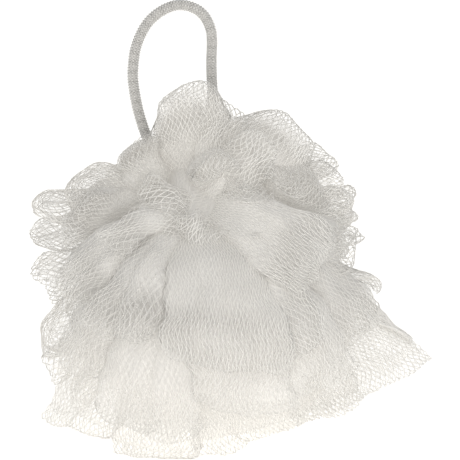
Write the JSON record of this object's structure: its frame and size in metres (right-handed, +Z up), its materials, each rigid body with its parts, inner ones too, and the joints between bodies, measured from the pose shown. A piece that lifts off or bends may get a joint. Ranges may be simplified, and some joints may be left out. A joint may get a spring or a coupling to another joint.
{
  "type": "mesh bath pouf",
  "caption": "Round bath pouf of gathered net loops tied at the waist, with a braided cord loop to hang it up.",
  "frame": {"origin": "on the floor under the middle of the ball, in its flat foot", "axes": "+Z up, +X to the right and -Y to the front as the picture shows the pouf"},
  "size_m": [0.1365, 0.1181, 0.1493],
  "materials": {
    "netting": "satin white polyethylene net",
    "braid": "matt white braided cord",
    "twine": "matt white twine"
  },
  "bodies": {
    "root": {"netting": "netting", "hanging_loop": "braid", "cord_knot": "braid", "waist_tie": "twine"}
  },
  "joints": []
}
